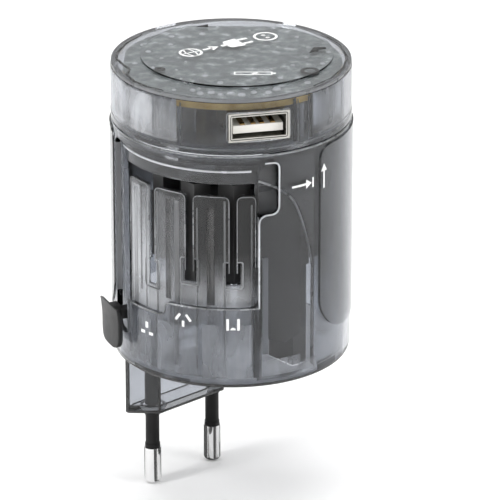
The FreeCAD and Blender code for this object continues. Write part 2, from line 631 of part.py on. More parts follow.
# ---------------------------------------------------------------- charger cap
floor = cylinder("cap_floor_solid", 26.2, 58.0, "cap_floor")
key_slots = [sector("key_slot_%d" % k, 24.7, 27.0, 57.0, 59.1, th - 7, th + 7) for k, th in
             enumerate((60.0, 180.0, 300.0))]
pin_holes = [cylinder("cap_floor_hole_%d" % k, 1.95, 57.0, 61.0, x, 0.0) for k, x in enumerate((-8.6, 8.6))]
node("cap_floor", cut("cap_floor_cut", floor, key_slots + pin_holes), "cap floor")

wall = ring("cap_wall_ring", "cap_r-cap_wall", "cap_r", "cap_low", "lid_low-0.02")
rim = ring("cap_rim_ring", "cap_r-cap_wall", "rim_r", "cap_low", "rim_high")
port = spoke("usb_window", "usb_turn", 20.0, 32.0, "usb_wide+0.2", "usb_mid_z-0.5*usb_high-0.1",
             "usb_mid_z+0.5*usb_high+0.1")
bezel = spoke("usb_bezel", "usb_turn", 27.05, 32.0, "usb_wide+1.4", "usb_mid_z-0.5*usb_high-0.7",
              "usb_mid_z+0.5*usb_high+0.7")
node("cap_wall", cut("cap_wall_cut", fuse("cap_wall_fused", [wall, rim]), [port, bezel]), "cap wall")

lid = doc.addObject("PartDesign::Body", "cap_lid_body")
s = sketch(lid, "lid_outline", "lid_low")
draw_circle(s, 0.0, 0.0, 27.8)
pad(lid, s, "lid_pad", "lid_top-lid_low-0.45")
s = sketch(lid, "lid_disc", "lid_top-0.45")
draw_circle(s, 1.2, "disc_y", "disc_r")
pad(lid, s, "lid_disc_pad", 0.45)
node("cap_lid", lid, "cap lid")

# partition walls inside the cap, either side of the port
sides = [spoke("cap_side_%d" % k, th, 19.0, 26.15, 1.0, "cap_floor", "pcb_low-0.1")
         for k, th in enumerate((-24.0, 39.0))]
node("cap_partitions", group("cap_partition_pair", sides), "cap partition walls")

# circuit board with its parts
pcb_disc = cylinder("pcb_disc", 25.7, "pcb_low", "pcb_high")
pcb_flat = box("pcb_flat", -30.0, 30.0, 23.6, 30.0, 60.0, 75.0)
pcb_left = box("pcb_left", -30.0, -24.8, -30.0, 30.0, 60.0, 75.0)
node("circuit_board", cut("circuit_board_cut", pcb_disc, [pcb_flat, pcb_left]), "circuit board")

usb_out = spoke("usb_shell_out", "usb_turn", 13.2, 27.7, "usb_wide", "usb_mid_z-0.5*usb_high",
                "usb_mid_z+0.5*usb_high")
usb_hole = spoke("usb_shell_hole", "usb_turn", 13.6, 30.0, "usb_wide-0.6", "usb_mid_z-0.5*usb_high+0.3",
                 "usb_mid_z+0.5*usb_high-0.3")
lip_out = spoke("usb_lip_out", "usb_turn", 27.2, 27.7, "usb_wide+1.1", "usb_mid_z-0.5*usb_high-0.55",
                "usb_mid_z+0.5*usb_high+0.55")
node("usb_shell", cut("usb_shell_cut", fuse("usb_shell_fused", [usb_out, lip_out]), [usb_hole]),
     "USB socket shell")
node("usb_tongue", spoke("usb_tongue_box", "usb_turn", 13.7, 26.4, 11.6, 62.6, 64.45), "USB socket tongue")
strips = [spoke("usb_strip_%d" % k, "usb_turn", 14.0, 26.1, 1.1, 64.47, 64.73, shift)
          for k, shift in enumerate((-3.5, -1.0, 1.0, 3.5))]
node("usb_strips", group("usb_strip_group", strips), "USB contact strips")

core = box("transformer_core_box", -6.0, 6.0, 2.4, 13.6, "cap_floor+0.1", "pcb_low-0.3")
slots = [box("transformer_slot_a", -7.0, 7.0, 4.4, 6.6, 60.6, 67.0),
         box("transformer_slot_b", -7.0, 7.0, 9.4, 11.6, 60.6, 67.0)]
node("transformer_core", cut("transformer_core_cut", core, slots), "transformer core")
coils = [box("coil_a", -6.6, 6.6, 4.5, 6.5, 60.7, 66.9), box("coil_b", -6.6, 6.6, 9.5, 11.5, 60.7, 66.9)]
node("transformer_coils", group("transformer_coil_pair", coils), "transformer windings")
cans = [cylinder("can_0", 2.9, "cap_floor+0.3", "pcb_low-0.1", 12.5, 7.5),
        cylinder("can_1", 2.9, "cap_floor+0.3", "pcb_low-0.1", 18.5, 4.5)]
node("capacitors", group("capacitor_pair", cans), "electrolytic capacitors")
chips = [box("chip_0", -18.5, -13.5, -2.0, 2.0, "pcb_low-1.6", "pcb_low-0.02"),
         box("chip_1", 7.0, 11.0, -6.0, -1.5, "pcb_low-1.6", "pcb_low-0.02")]
node("chips", group("chip_group", chips), "control chips")
blobs = []
for k, th in enumerate((-22.0, -16.0, -10.0, -4.0, 2.0, 8.0, 16.0, 24.0, 31.0)):
    a = math.radians(th - 90)
    rad = 22.6 if k % 2 else 21.4
    blobs.append(cylinder("solder_%d" % k, 0.8, "pcb_high+0.01", "lid_low-0.05",
                          rad * math.cos(a), rad * math.sin(a)))
node("solder_joints", group("solder_group", blobs), "solder joints")

# cap plug pins that reach into the socket, and the screws that close the cap
feet = [cylinder("cap_pin_%d" % k, 1.9, 50.9, "cap_floor+4", x, 0.0) for k, x in enumerate((-8.6, 8.6))]
node("cap_pins", group("cap_pin_pair", feet), "cap contact pins")
cap_posts = []
cap_screws = []
for k, (x, y) in enumerate(((-15.4, -9.3), (18.4, -9.2), (20.6, 9.0), (-7.4, 21.4))):
    p = cylinder("cap_post_%d" % k, 1.9, "cap_floor+0.02", "pcb_low-0.1", x, y)
    hole = cylinder("cap_post_hole_%d" % k, 0.85, "cap_floor-1", 66.0, x, y)
    cap_posts.append(cut("cap_post_cut_%d" % k, p, [hole]))
    cap_screws.append(cylinder("cap_screw_%d" % k, 0.8, "cap_floor+0.1", 65.5, x, y))
node("cap_posts", group("cap_post_group", cap_posts), "cap screw posts")
node("cap_screws", group("cap_screw_group", cap_screws), "cap screws")

doc.recompute()

# ---------------------------------------------------------------- checks and export
bad = []
for o in doc.Objects:
    if "Invalid" in o.State or "Error" in o.State:
        bad.append(o.Name + " state " + ",".join(o.State))
for name, o in NODES.items():
    if o.Shape.isNull() or not o.Shape.isValid() or not o.Shape.Solids:
        bad.append(name + " shape")
if bad:
    raise RuntimeError("; ".join(bad))
os.makedirs("parts", exist_ok=True)
for name, o in NODES.items():
    o.Shape.exportStep("parts/%s.step" % name)
    print(name, len(o.Shape.Solids), [round(v, 2) for v in (
        o.Shape.BoundBox.XMin, o.Shape.BoundBox.XMax, o.Shape.BoundBox.YMin, o.Shape.BoundBox.YMax,
        o.Shape.BoundBox.ZMin, o.Shape.BoundBox.ZMax)], round(o.Shape.Volume, 1))
print("nodes", len(NODES))
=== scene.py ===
import math
import bpy
import bmesh
from mathutils import Matrix, Vector


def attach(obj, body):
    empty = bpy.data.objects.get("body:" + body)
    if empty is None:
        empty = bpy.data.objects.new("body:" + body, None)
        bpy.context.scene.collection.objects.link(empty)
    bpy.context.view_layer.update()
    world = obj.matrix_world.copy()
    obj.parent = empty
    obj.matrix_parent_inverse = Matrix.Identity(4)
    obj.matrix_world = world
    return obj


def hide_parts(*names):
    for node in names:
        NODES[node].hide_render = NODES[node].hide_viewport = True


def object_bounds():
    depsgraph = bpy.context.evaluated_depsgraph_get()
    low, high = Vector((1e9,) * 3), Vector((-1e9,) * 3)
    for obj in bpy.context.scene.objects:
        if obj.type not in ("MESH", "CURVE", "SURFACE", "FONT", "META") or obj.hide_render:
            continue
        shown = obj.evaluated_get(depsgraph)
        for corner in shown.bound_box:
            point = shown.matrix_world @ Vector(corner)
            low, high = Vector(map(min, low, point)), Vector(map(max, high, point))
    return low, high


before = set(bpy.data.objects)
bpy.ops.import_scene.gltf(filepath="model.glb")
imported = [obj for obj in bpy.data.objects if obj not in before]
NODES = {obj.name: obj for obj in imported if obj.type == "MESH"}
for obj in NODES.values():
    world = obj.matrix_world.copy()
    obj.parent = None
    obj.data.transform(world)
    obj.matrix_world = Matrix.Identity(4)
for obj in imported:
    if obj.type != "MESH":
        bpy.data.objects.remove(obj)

CAD_BOX = [list(v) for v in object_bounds()]
scene = bpy.context.scene

# Sizes below are in mm; MM turns them into the metres of the scene.
MM = 0.001
# Radii of the thin pieces that lie on the two round walls or just inside them.
OUTER_WALL = 28.0
OUTER_EDGE = 27.9
OUTER_FILM = 27.92
SEAM_LINE = 27.86
INNER_EDGE = 26.02
INNER_FILM = 26.10
LANE_BAND_RADIUS = 26.07
# Levels of the cap, and the lane of its port.
LID_TOP = 71.5
LID_RIM = 70.93
BOARD_TOP = 69.62
PORT_LANE = 15.3
# Marks in the lid are this thick and sunk this far.
MARK_THICK = 0.035
MARK_SUNK = 0.025
# A neutral grey multiplied by this is slightly cool, as smoked plastic is.
COOL = (0.962, 0.985, 1.03)

# ------------------------------------------------------------------ material helpers


def new_material(name):
    mat = bpy.data.materials.new(name)
    mat.use_nodes = True
    tree = mat.node_tree
    shader = tree.nodes["Principled BSDF"]
    return mat, tree, shader


def noise_tex(tree, scale, detail=3.0, stretch=(1, 1, 1)):
    coords = tree.nodes.new("ShaderNodeTexCoord")
    mapping = tree.nodes.new("ShaderNodeMapping")
    mapping.inputs["Scale"].default_value = stretch
    tex = tree.nodes.new("ShaderNodeTexNoise")
    tex.inputs["Scale"].default_value = scale
    tex.inputs["Detail"].default_value = detail
    tree.links.new(coords.outputs["Object"], mapping.inputs["Vector"])
    tree.links.new(mapping.outputs["Vector"], tex.inputs["Vector"])
    return tex


def ramp(tree, source, stops):
    """Turn a value into a colour; stops is a list of (value, colour)."""
    node = tree.nodes.new("ShaderNodeValToRGB")
    while len(node.color_ramp.elements) < len(stops):
        node.color_ramp.elements.new(0.5)
    for element, (value, colour) in zip(node.color_ramp.elements, stops):
        element.position = value
        element.color = (*colour, 1)
    tree.links.new(source, node.inputs["Fac"])
    return node.outputs["Color"]


def bump(tree, shader, tex, height, strength=0.4):
    node = tree.nodes.new("ShaderNodeBump")
    node.inputs["Distance"].default_value = height
    node.inputs["Strength"].default_value = strength
    tree.links.new(tex.outputs[0], node.inputs["Height"])
    tree.links.new(node.outputs["Normal"], shader.inputs["Normal"])


def grey(value, tint=(1.0, 1.0, 1.0)):
    return (value * tint[0], value * tint[1], value * tint[2])


def plastic(name, low, high, rough=0.4, scale=600.0, height=0.00003, alpha=1.0, glass=0.0, ior=1.5,
            rough_span=0.08, specular=0.5):
    """Moulded plastic: slight tone changes, a fine grain, and uneven gloss."""
    mat, tree, shader = new_material(name)
    tone = noise_tex(tree, scale * 0.12, 4.0)
    colour = ramp(tree, tone.outputs[0], [(0.35, low), (0.65, high)])
    tree.links.new(colour, shader.inputs["Base Color"])
    gloss = noise_tex(tree, scale * 0.3, 2.0)
    smoothest, roughest = rough - rough_span / 2, rough + rough_span / 2
    spread = ramp(tree, gloss.outputs[0], [(0.3, grey(smoothest)), (0.7, grey(roughest))])
    tree.links.new(spread, shader.inputs["Roughness"])
    grain = noise_tex(tree, scale, 2.0)
    bump(tree, shader, grain, height)
    shader.inputs["IOR"].default_value = ior
    shader.inputs["Alpha"].default_value = alpha
    shader.inputs["Transmission Weight"].default_value = glass
    shader.inputs["Specular IOR Level"].default_value = specular
    return mat


def metal(name, low, high, rough=0.15, scale=300.0, stretch=(1, 1, 1)):
    """Plated metal: the same fine marks change its tone and its gloss."""
    mat, tree, shader = new_material(name)
    tone = noise_tex(tree, scale, 3.0, stretch)
    colour = ramp(tree, tone.outputs[0], [(0.3, low), (0.7, high)])
    tree.links.new(colour, shader.inputs["Base Color"])
    spread = ramp(tree, tone.outputs[0], [(0.3, grey(rough * 0.7)), (0.7, grey(rough * 1.3))])
    tree.links.new(spread, shader.inputs["Roughness"])
    bump(tree, shader, tone, 0.00001, 0.3)
    shader.inputs["Metallic"].default_value = 1.0
    return mat


def along(tree, start, end, axis="Z"):
    """0 at one place along an axis of the object and 1 at another, in mm."""
    coords = tree.nodes.new("ShaderNodeTexCoord")
    split = tree.nodes.new("ShaderNodeSeparateXYZ")
    span = tree.nodes.new("ShaderNodeMapRange")
    span.inputs["From Min"].default_value = start * MM
    span.inputs["From Max"].default_value = end * MM
    tree.links.new(coords.outputs["Object"], split.inputs[0])
    tree.links.new(split.outputs[axis], span.inputs["Value"])
    return span.outputs[0]


def blend_colours(tree, factor, a, b, mode="MIX"):
    """Blend two colours, each one an output of a node or a plain (red, green, blue)."""
    node = tree.nodes.new("ShaderNodeMix")
    node.data_type = "RGBA"
    node.blend_type = mode
    node.inputs["Factor"].default_value = 1.0
    if factor:
        tree.links.new(factor, node.inputs["Factor"])
    for socket, colour in ((node.inputs[6], a), (node.inputs[7], b)):
        if isinstance(colour, tuple):
            socket.default_value = (*colour, 1)
        else:
            tree.links.new(colour, socket)
    return node.outputs[2]


def streaky(name, tints, rough, glass, spread=0.12, milky=None, across=None):
    """Smoky plastic with upright flow streaks; tints is a list of (height in mm, tint).

    milky is (least clear, most clear, from height, to height): cloudy patches that end at that height.
    across is a list of (x in mm, factor) that darkens the upper part from side to side: painted shade."""
    mat, tree, shader = new_material(name)
    streaks = noise_tex(tree, 260, 2.0, (1, 1, 0.06))
    low_z, high_z = tints[0][0], tints[-1][0]
    height = along(tree, low_z, high_z)
    tones = []
    for strength in (1 - spread, 1 + spread):
        stops = [((z - low_z) / (high_z - low_z), grey(tint * strength, COOL)) for z, tint in tints]
        tones.append(ramp(tree, height, stops))
    mask = ramp(tree, streaks.outputs[0], [(0.38, grey(0.0)), (0.62, grey(1.0))])
    colour = blend_colours(tree, mask, tones[0], tones[1])
    # painted shade over the upper part, deepening from left to right
    if across:
        left, right = across[0][0], across[-1][0]
        stops = [((x - left) / (right - left), grey(factor)) for x, factor in across]
        shaded = ramp(tree, along(tree, left, right, "X"), stops)
        plain = ramp(tree, shaded, [(0.0, grey(0.97)), (1.0, grey(1.0))])
        upper = blend_colours(tree, along(tree, 24, 33), plain, shaded)
        upper = blend_colours(tree, along(tree, 46.5, 49), upper, plain)
        colour = blend_colours(tree, None, colour, upper, "MULTIPLY")
    tree.links.new(colour, shader.inputs["Base Color"])
    gloss = ramp(tree, streaks.outputs[0], [(0.3, grey(rough * 0.7)), (0.7, grey(rough * 1.3))])
    tree.links.new(gloss, shader.inputs["Roughness"])
    bump(tree, shader, streaks, 0.00002)
    shader.inputs["IOR"].default_value = 1.45
    shader.inputs["Transmission Weight"].default_value = glass
    if milky:
        least, most, start, end = milky
        patches = noise_tex(tree, 90, 4.0, (1, 1, 0.5))
        cloudy = ramp(tree, patches.outputs[0], [(0.36, grey(least)), (0.64, grey(most))])
        clear = blend_colours(tree, along(tree, start, end), cloudy, grey(glass))
        tree.links.new(clear, shader.inputs["Transmission Weight"])
    return mat


def board_material():
    """Resin board: a grey-green printed face with pale joints showing, and a golden cut edge."""
    mat, tree, shader = new_material("board_resin")
    coords = tree.nodes.new("ShaderNodeTexCoord")
    split = tree.nodes.new("ShaderNodeSeparateXYZ")
    tree.links.new(coords.outputs["Normal"], split.inputs[0])
    face = ramp(tree, split.outputs["Z"], [(0.45, grey(0.0)), (0.55, grey(1.0))])
    tracks = noise_tex(tree, 420, 3.0)
    top = ramp(tree, tracks.outputs[0], [(0.42, (0.15, 0.18, 0.165)), (0.54, (0.27, 0.31, 0.29)),
                                         (0.62, (0.42, 0.46, 0.43)), (0.70, (0.85, 0.88, 0.86))])
    edge = ramp(tree, tracks.outputs[0], [(0.3, (0.60, 0.38, 0.07)), (0.7, (0.85, 0.60, 0.18))])
    colour = blend_colours(tree, face, edge, top)
    tree.links.new(colour, shader.inputs["Base Color"])
    gloss = ramp(tree, tracks.outputs[0], [(0.3, grey(0.45)), (0.7, grey(0.3))])
    tree.links.new(gloss, shader.inputs["Roughness"])
    bump(tree, shader, tracks, 0.00008)
    return mat


def smoky(name, tint, rough=0.05, glass=1.0, depth=0.0):
    """Clear smoked plastic; depth darkens it where it is thick."""
    low, high = grey(tint, COOL), grey(tint * 1.12, COOL)
    mat = plastic(name, low, high, rough, 400, 0.000004, glass=glass, ior=1.45, rough_span=0.03)
    if depth:
        tree = mat.node_tree
        absorb = tree.nodes.new("ShaderNodeVolumeAbsorption")
        absorb.inputs["Color"].default_value = (0.103, 0.123, 0.147, 1)
        absorb.inputs["Density"].default_value = depth
        tree.links.new(absorb.outputs["Volume"], tree.nodes["Material Output"].inputs["Volume"])
    return mat


def cloud(name, amount, tint):
    """A thin film in upright patches with clear places between them: frosted when pale, painted shade when
    dark.
    """
    mat = plastic(name, grey(tint * 0.8, COOL), grey(tint, COOL), 0.45, 500, 0.0, specular=0.2)
    tree = mat.node_tree
    patches = noise_tex(tree, 150, 3.0, (1, 1, 0.35))
    cover = ramp(tree, patches.outputs[0], [(0.40, grey(amount * 0.25)), (0.62, grey(amount))])
    tree.links.new(cover, tree.nodes["Principled BSDF"].inputs["Alpha"])
    return mat


# ------------------------------------------------------------------ materials
LOOKS = {
    # smoked plastic of the body and the cap
    "outer": smoky("smoky_outer", 0.70, 0.03, depth=60),
    "grip": smoky("smoky_grip", 0.52, 0.07),
    "cap_wall": smoky("smoky_cap", 0.66, 0.03, depth=60),
    # the liner and the panel are darker towards the top; the panel's across list is painted shade, deeper to
    # the right
    "inner": streaky("smoky_inner", [(6, 0.80), (28, 0.62), (34, 0.14), (56, 0.10)], 0.10, 1.0,
                     milky=(0.97, 0.88, 20, 33)),
    "panel": streaky("smoky_panel", [(8, 0.95), (18, 0.85), (28, 0.72), (38, 0.62), (47, 0.62), (50.5, 0.42)],
                     0.14, 0.94, milky=(0.86, 0.55, 16, 30),
                     across=[(-25, 1.0), (-19, 0.75), (-12, 0.42), (-4, 0.17), (8, 0.10)]),
    "cap_inner": smoky("smoky_cap_inner", 0.93, 0.2, glass=0.8),
    "lid": smoky("smoky_lid", 0.70, 0.04, depth=12),
    "casing": smoky("smoky_casing", 0.62, 0.03, depth=50),
    "base": smoky("smoky_base", 0.85, 0.2, glass=0.5),
    # other plastic
    "dark": plastic("dark_plastic", grey(0.014), grey(0.022), 0.45, 900, specular=0.3),
    "carrier": plastic("carrier_plastic", grey(0.035), grey(0.05), 0.5, 700),
    "lever": plastic("lever_plastic", grey(0.012, COOL), grey(0.020, COOL), 0.40, 1200, 0.00005,
                     specular=0.32),
    "sleeve": plastic("sleeve_plastic", grey(0.006), grey(0.010), 0.38, 1500, 0.00003, specular=0.2),
    "tongue": plastic("usb_white", (0.78, 0.76, 0.70), (0.86, 0.84, 0.79), 0.35, 900),
    # metal
    "pin": metal("plated_pin", grey(0.80), grey(0.88), 0.07, 200, (1, 1, 0.1)),
    "brass": metal("brass_pin", (0.60, 0.47, 0.22), (0.72, 0.58, 0.30), 0.22, 400, (1, 1, 0.15)),
    # nickel darkened far below real plating: painted shade on the pins and blades set back in the lanes
    "nickel": metal("nickel_painted_shade", grey(0.045), grey(0.08), 0.4, 400, (1, 1, 0.15)),
    "steel": metal("plated_steel", grey(0.62), grey(0.74), 0.22, 500, (1, 1, 0.2)),
    "usb_steel": metal("usb_plating", (0.42, 0.41, 0.38), (0.56, 0.55, 0.51), 0.22, 400),
    "strip": metal("contact_strip", (0.32, 0.2, 0.08), (0.45, 0.3, 0.12), 0.3, 600),
    # electronics
    "board": board_material(),
    "ferrite": plastic("ferrite", grey(0.03), grey(0.05), 0.6, 800, 0.00008),
    "winding": plastic("winding_tape", (0.5, 0.33, 0.05), (0.62, 0.44, 0.09), 0.35, 500),
    "can": plastic("can_sleeve", (0.02, 0.03, 0.07), (0.03, 0.045, 0.1), 0.3, 500),
    "chip": plastic("chip_resin", grey(0.012), grey(0.02), 0.5, 1500),
    "solder": plastic("solder", grey(0.85), grey(0.97), 0.2, 900, 0.00002, specular=0.9),
    "glass": plastic("fuse_glass", grey(0.7), grey(0.8), 0.05, 500, 0.0, alpha=0.4, glass=0.8),
    # printed marks, and dark marks in the lid
    "print": plastic("white_print", grey(0.80), grey(0.9), 0.5, 900, 0.0),
    "mark": plastic("dark_mark", grey(0.02), grey(0.07), 0.6, 900, 0.00003, glass=0.15, specular=0.15),
    # painted highlights and painted shade along the edges of the moulded parts, and milky faces
    "edge": plastic("edge_painted_highlight", grey(0.16, COOL), grey(0.70, COOL), 0.3, 900, 0.00001, glass=0.45,
                    rough_span=0.1),
    "edge_bright": plastic("bright_edge", grey(0.55, COOL), grey(0.85, COOL), 0.25, 900, 0.00001, glass=0.2),
    "edge_dark": plastic("shaded_edge", grey(0.03), grey(0.05), 0.25, 700, 0.0),
    "lever_edge": plastic("lever_lit_edge", grey(0.10), grey(0.2), 0.35, 700, 0.00002),
    "end_face": streaky("milky_end_face", [(10, 0.50), (55, 0.36)], 0.35, 0.5),
    "shelf": streaky("milky_cap_wall", [(60, 0.50), (64, 0.85), (70, 0.95)], 0.3, 0.35, spread=0.5,
                     milky=(0.02, 0.7, 60, 80)),
    # cloudy films, a dark film of painted shade, and bands of painted highlight and painted shade inside the
    # clear plastic
    "cloud": cloud("cloudy_patches", 0.42, 0.85),
    "cloud_soft": cloud("soft_cloudy_patches", 0.20, 0.7),
    "cloud_thin": cloud("thin_cloudy_patches", 0.12, 0.6),
    # a nearly black film: painted shade at the foot and beside the shield
    "shade_film": cloud("shaded_patches", 0.75, 0.03),
    # light and dark bands for those that the curved lanes show: painted highlight and painted shade
    "streak": plastic("painted_lane_highlight", grey(0.30, COOL), grey(0.5, COOL), 0.3, 300, 0.0, glass=0.7),
    "streak_dark": plastic("painted_lane_shade", grey(0.03), grey(0.06), 0.3, 300, 0.0, glass=0.6, alpha=0.5),
    # floor
    "paper": plastic("paper", grey(0.90), grey(0.92), 0.8, 40, 0.0),
}
USES = {
    "outer": ["outer_shell"],
    "grip": ["grip_pads"],
    "cap_wall": ["cap_wall"],
    "inner": ["inner_liner", "screw_posts"],
    "cap_inner": ["cap_floor", "cap_partitions", "cap_posts", "lock_ring"],
    "panel": ["guide_panel"],
    "lid": ["cap_lid"],
    "casing": ["eu_casing"],
    "base": ["base_plate"],
    "dark": ["contact_shield", "socket_plate"],
    "carrier": ["eu_carrier", "uk_carrier", "au_carrier", "us_carrier", "uk_earth_pin"],
    "lever": ["selector_lever"],
    "sleeve": ["eu_sleeves"],
    "pin": ["eu_pins"],
    "nickel": ["uk_line_pins", "au_blades", "us_blades", "earth_contact"],
    "brass": ["cap_pins", "live_neutral_contacts", "fuse_clips"],
    "steel": ["base_screws", "cap_screws", "fuse_end_caps"],
    "usb_steel": ["usb_shell"],
    "tongue": ["usb_tongue"],
    "strip": ["usb_strips"],
    "board": ["circuit_board"],
    "ferrite": ["transformer_core"],
    "winding": ["transformer_coils"],
    "can": ["capacitors"],
    "chip": ["chips"],
    "solder": ["solder_joints"],
    "glass": ["fuse_glass"],
}
for key, names in USES.items():
    for name in names:
        obj = NODES[name]
        if not obj.material_slots:
            obj.data.materials.append(LOOKS[key])
        for slot in obj.material_slots:
            slot.material = LOOKS[key]

# ------------------------------------------------------------------ shape helpers
# Places on the round body are given as (lane angle in degrees from the front, height in mm).


def at(radius, lane, z):
    """A place on a round wall, in metres."""
    angle = math.radians(lane)
    return Vector((radius * math.sin(angle), -radius * math.cos(angle), z)) * MM


def add_bevel(obj, width):
    """Round every edge that is sharper than 35 degrees, by a width in mm."""
    mod = obj.modifiers.new("bevel", "BEVEL")
    mod.width = width * MM
    mod.segments = 3
    mod.limit_method = "ANGLE"
    mod.angle_limit = math.radians(35)


def mesh_piece(name, bm, mat, body, smooth=True):
    """Close a mesh, give it a material and, unless it belongs to the stage, a body to ride on."""
    mesh = bpy.data.meshes.new(name)
    bmesh.ops.remove_doubles(bm, verts=bm.verts, dist=1e-7)
    bmesh.ops.recalc_face_normals(bm, faces=bm.faces)
    bm.to_mesh(mesh)
    bm.free()
    for poly in mesh.polygons:
        poly.use_smooth = smooth
    obj = bpy.data.objects.new(name, mesh)
    scene.collection.objects.link(obj)
    mesh.materials.append(mat)
    if body:
        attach(obj, body)
    return obj


def join_rings(bm, rings, around=False):
    """Faces between neighbouring rings of vertices, and between the last and the first if around."""
    count = len(rings[0])
    pairs = list(zip(rings, rings[1:]))
    if around:
        pairs.append((rings[-1], rings[0]))
    for a, b in pairs:
        for j in range(count):
            k = (j + 1) % count
            bm.faces.new((a[j], a[k], b[k], b[j]))


def cap_ends(bm, rings):
    """Faces over the first and the last ring."""
    bm.faces.new(rings[0])
    bm.faces.new(rings[-1])


def rounded(points, radius, closed=False):
    """Round the corners of a flat path given in mm."""
    steps = 6
    pts = [Vector(p) for p in points]
    count = len(pts)
    out = []
    for i, p in enumerate(pts):
        if not closed and i in (0, count - 1):
            out.append(p)
            continue
        before, after = pts[i - 1] - p, pts[(i + 1) % count] - p
        reach = min(radius, before.length * 0.49, after.length * 0.49)
        start, end = p + before.normalized() * reach, p + after.normalized() * reach
        for k in range(steps + 1):
            t = k / steps
            out.append(start * (1 - t) ** 2 + p * 2 * t * (1 - t) + end * t * t)
    return out


def densify(points, gap, closed=False):
    """Add points so that no two neighbours are further apart than gap."""
    out = []
    count = len(points)
    for i in range(count if closed else count - 1):
        a, b = points[i], points[(i + 1) % count]
        parts = max(1, int(math.ceil((b - a).length / gap)))
        out += [a.lerp(b, j / parts) for j in range(parts)]
    if not closed:
        out.append(points[-1])
    return out


def direction_at(points, i, closed):
    """Direction of a path at one of its points."""
    count = len(points)
    before = points[i - 1] if (i or closed) else points[i]
    after = points[(i + 1) % count] if (i < count - 1 or closed) else points[i]
    return (after - before).normalized()


def wall_strip(bm, points, radius, width, thick, closed=False):
    """A flat raised strip that follows a path of (arc mm, height mm) on a wall of this radius."""
    pts = densify(points, 1.0, closed)
    rings = []
    for i, p in enumerate(pts):
        d = direction_at(pts, i, closed)
        side = Vector((-d.y, d.x)) * (width / 2)
        ring = []
        for offset, lift in ((side, 0.0), (side * 0.55, thick), (-side * 0.55, thick), (-side, 0.0)):
            q = p + offset
            ring.append(bm.verts.new(at(radius + lift, math.degrees(q.x / radius), q.y)))
        rings.append(ring)
    join_rings(bm, rings, closed)
    if not closed:
        cap_ends(bm, rings)


def wall_line(name, body, look, paths, radius, width, thick=0.12, corner=1.0):
    """One piece made of strips along paths of (lane, height)."""
    bm = bmesh.new()
    for path in paths:
        flat = [(radius * math.radians(lane), z) for lane, z in path]
        wall_strip(bm, rounded(flat, corner), radius, width, thick)
    mesh_piece(name, bm, LOOKS[look], body)


def tube(bm, points, radius, closed=False):
    """A thin round bead along points given in mm."""
    sides = 6
    up = Vector((0, 0, 1))
    rings = []
    for i, p in enumerate(points):
        d = direction_at(points, i, closed)
        u = d.orthogonal().normalized() if abs(d.z) > 0.9 else d.cross(up).normalized()
        v = d.cross(u)
        ring = []
        for t in range(sides):
            angle = t * math.tau / sides
            ring.append(bm.verts.new((p + (u * math.cos(angle) + v * math.sin(angle)) * radius) * MM))
        rings.append(ring)
    join_rings(bm, rings, closed)
    if not closed:
        cap_ends(bm, rings)


def around_wall(radius, lanes, z):
    """Points in mm round a wall at one height."""
    return [at(radius, lane, z) / MM for lane in lanes]


def band_point(u, n, z):
    """The two-pin plug lies along one slanted direction; this turns a place along it into x, y, z."""
    mid_x, mid_y, turn = -6.03, 11.1, math.radians(44.0)
    x, y = mid_x + u, mid_y + n
    return Vector((x * math.cos(turn) - y * math.sin(turn), x * math.sin(turn) + y * math.cos(turn), z))


def flat_bar(bm, place, a, b, width, thick=0.05):
    """A bar between two points of a small drawing; place turns (x, y, lift) into a position."""
    a, b = Vector(a), Vector(b)
    d = (b - a).normalized()
    side = Vector((-d.y, d.x)) * (width / 2)
    parts = max(1, int(math.ceil((b - a).length / 0.8)))
    rings = []
    for i in range(parts + 1):
        p = a.lerp(b, i / parts)
        corners = ((p + side, 0.0), (p - side, 0.0), (p - side, thick), (p + side, thick))
        rings.append([bm.verts.new(place(q.x, q.y, lift)) for q, lift in corners])
    join_rings(bm, rings)
    cap_ends(bm, rings)


def flat_poly(bm, place, points, thick=0.05):
    """A filled outline of a small drawing."""
    rings = [[bm.verts.new(place(x, y, lift)) for x, y in points] for lift in (0.0, thick)]
    join_rings(bm, rings)
    cap_ends(bm, rings)


def arc_points(cx, cy, r, start, end, steps):
    """Points on an arc round (cx, cy), from one angle in degrees to another."""
    turns = [math.radians(start + (end - start) * i / steps) for i in range(steps + 1)]
    return [(cx + r * math.cos(turn), cy + r * math.sin(turn)) for turn in turns]


def ring_shape(bm, place, cx, cy, r, width, squeeze=1.0, steps=28, thick=MARK_THICK):
    """A drawn circle, or an oval if squeezed."""
    pts = [(cx + squeeze * (x - cx), y) for x, y in arc_points(cx, cy, r, 0, 360, steps)]
    for a, b in zip(pts, pts[1:]):
        flat_bar(bm, place, a, b, width, thick)


def on_wall(radius, lane, height):
    """Drawing frame for a mark printed on the round wall."""
    return lambda x, y, lift: at(radius + lift, lane + math.degrees(x / radius), height + y)


def on_lid(cx, cy, turn, top=LID_TOP):
    """Drawing frame for a mark in the lid, turned by an angle in degrees."""
    c, s = math.cos(math.radians(turn)), math.sin(math.radians(turn))
    return lambda x, y, lift: Vector((cx + x * c - y * s, cy + x * s + y * c, top - MARK_SUNK + lift)) * MM


def film(name, body, look, radius, lanes, z0, z1):
    """A film on a round wall between two lane angles and two heights."""
    first, last = lanes
    steps = max(2, int((last - first) / 2))
    angles = [first + (last - first) * i / steps for i in range(steps + 1)]
    bm = bmesh.new()
    low_row, high_row = [[bm.verts.new(at(radius, lane, z)) for lane in angles] for z in (z0, z1)]
    for i in range(steps):
        bm.faces.new((low_row[i], low_row[i + 1], high_row[i + 1], high_row[i]))
    obj = mesh_piece(name, bm, LOOKS[look], body)
    solid = obj.modifiers.new("thickness", "SOLIDIFY")
    solid.thickness = 0.02 * MM
    solid.offset = 1.0


